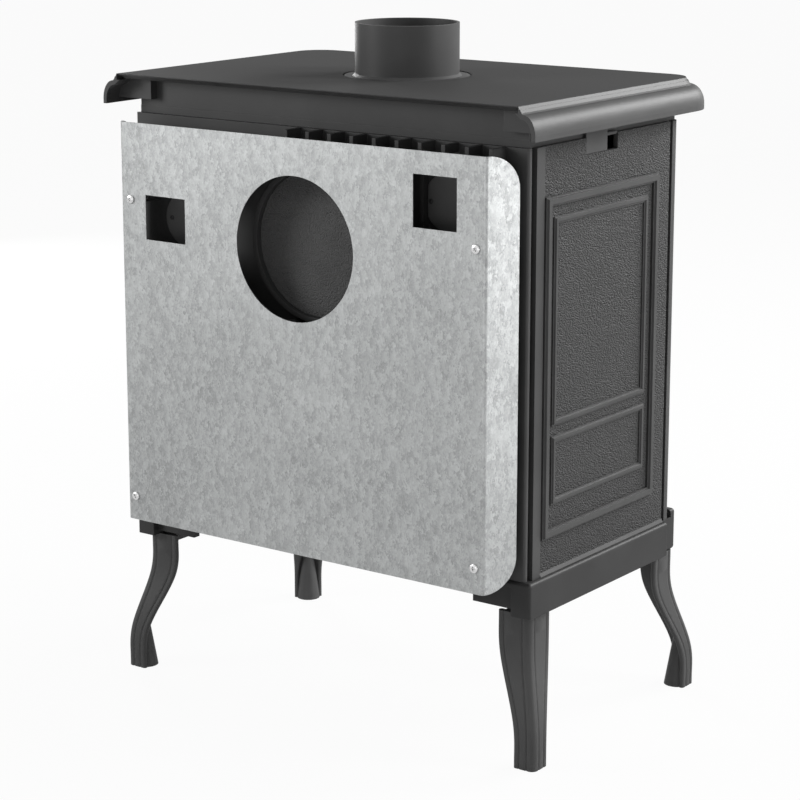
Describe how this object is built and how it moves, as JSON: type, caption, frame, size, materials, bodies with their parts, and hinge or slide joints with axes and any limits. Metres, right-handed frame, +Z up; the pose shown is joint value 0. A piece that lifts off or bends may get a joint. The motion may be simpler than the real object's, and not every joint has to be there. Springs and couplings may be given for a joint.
{
  "type": "wood stove",
  "caption": "Cast iron wood stove on cabriole legs, with moulded side panels, a finned back behind a galvanised heat shield, a glazed firebox door, an ash drawer and a top flue spigot.",
  "frame": {"origin": "on the floor, in the middle of the overall box in plan", "axes": "+Z up, the firebox door faces -Y, +X to the right of a person who faces the door"},
  "size_m": [0.744, 0.5224, 0.981],
  "materials": {
    "cast_iron": "matt stove paint on castings",
    "galvanised_sheet": "galvanised, with spangle",
    "zinc_steel": "bright zinc plate",
    "sheet_steel": "black lacquer",
    "nickel": "satin nickel plate",
    "fire_brick": "pressed brick",
    "stove_glass": "clear stove glass",
    "rope": "braided rope seal"
  },
  "bodies": {
    "stove_body": {"base_frame": "cast_iron", "front_rail": "cast_iron", "bottom_plate": "cast_iron", "leg_rear_right": "cast_iron", "leg_rear_left": "cast_iron", "leg_front_right": "cast_iron", "leg_front_left": "cast_iron", "side_panel_right": "cast_iron", "side_panel_left": "cast_iron", "rear_wall": "cast_iron", "air_cover_left": "cast_iron", "air_cover_right": "cast_iron", "rear_flue_cover": "cast_iron", "front_frame": "cast_iron", "top_frame": "cast_iron", "top_plate": "cast_iron", "flue_spigot": "cast_iron", "firebox_floor": "cast_iron", "baffle_plate": "cast_iron", "log_retainer": "cast_iron", "leg_bolts": "zinc_steel", "front_rail_bolts": "zinc_steel", "tie_rods": "zinc_steel", "air_cover_screws": "zinc_steel", "flue_cover_bar": "zinc_steel", "flue_cover_bolt": "zinc_steel", "shield_spacers": "zinc_steel", "shield_screws": "zinc_steel", "spigot_bolts": "zinc_steel", "drawer_runners": "zinc_steel", "air_slide_guides": "zinc_steel", "heat_shield": "galvanised_sheet", "liner_right": "fire_brick", "liner_left": "fire_brick", "liner_rear": "fire_brick"},
    "door": {"door_frame": "cast_iron", "door_glass": "stove_glass", "glass_gasket": "rope", "glass_clips": "zinc_steel", "clip_screws": "zinc_steel", "door_gasket": "rope", "hinge_pins": "zinc_steel"},
    "handle": {"handle_hub": "nickel", "handle_grip": "nickel", "latch_cam": "zinc_steel", "latch_nut": "zinc_steel"},
    "ash_drawer": {"ash_pan": "sheet_steel", "drawer_front": "cast_iron", "drawer_screws": "zinc_steel", "drawer_knob": "nickel", "rosette_pins": "zinc_steel"},
    "rosette_left": {"air_rosette_left": "nickel"},
    "rosette_right": {"air_rosette_right": "nickel"},
    "grate": {"riddling_grate": "cast_iron", "riddling_rod": "zinc_steel", "riddling_knob": "nickel"},
    "air_slide_bar": {"air_slide": "nickel", "slide_knob": "nickel"}
  },
  "joints": [
    {"name": "door_hinge", "type": "hinge", "parent": "stove_body", "child": "door", "pos_m": [-0.258, -0.2053, 0.632], "axis": [0, 0, -1], "range_deg": [0, 110]},
    {"name": "handle_turn", "type": "hinge", "parent": "door", "child": "handle", "pos_m": [0.197, -0.21, 0.632], "axis": [0, 1, 0], "range_deg": [0, 90]},
    {"name": "drawer_slide", "type": "slide", "parent": "stove_body", "child": "ash_drawer", "axis": [0, -1, 0], "range_m": [0, 0.28]},
    {"name": "rosette_left_turn", "type": "hinge", "parent": "ash_drawer", "child": "rosette_left", "pos_m": [-0.12, -0.209, 0.388], "axis": [0, 1, 0], "range_deg": [0, 45]},
    {"name": "rosette_right_turn", "type": "hinge", "parent": "ash_drawer", "child": "rosette_right", "pos_m": [0.12, -0.209, 0.388], "axis": [0, 1, 0], "range_deg": [0, 45]},
    {"name": "grate_riddle", "type": "slide", "parent": "stove_body", "child": "grate", "axis": [0, -1, 0], "range_m": [0, 0.025]},
    {"name": "air_slide_move", "type": "slide", "parent": "stove_body", "child": "air_slide_bar", "axis": [1, 0, 0], "range_m": [0, 0.04]}
  ]
}
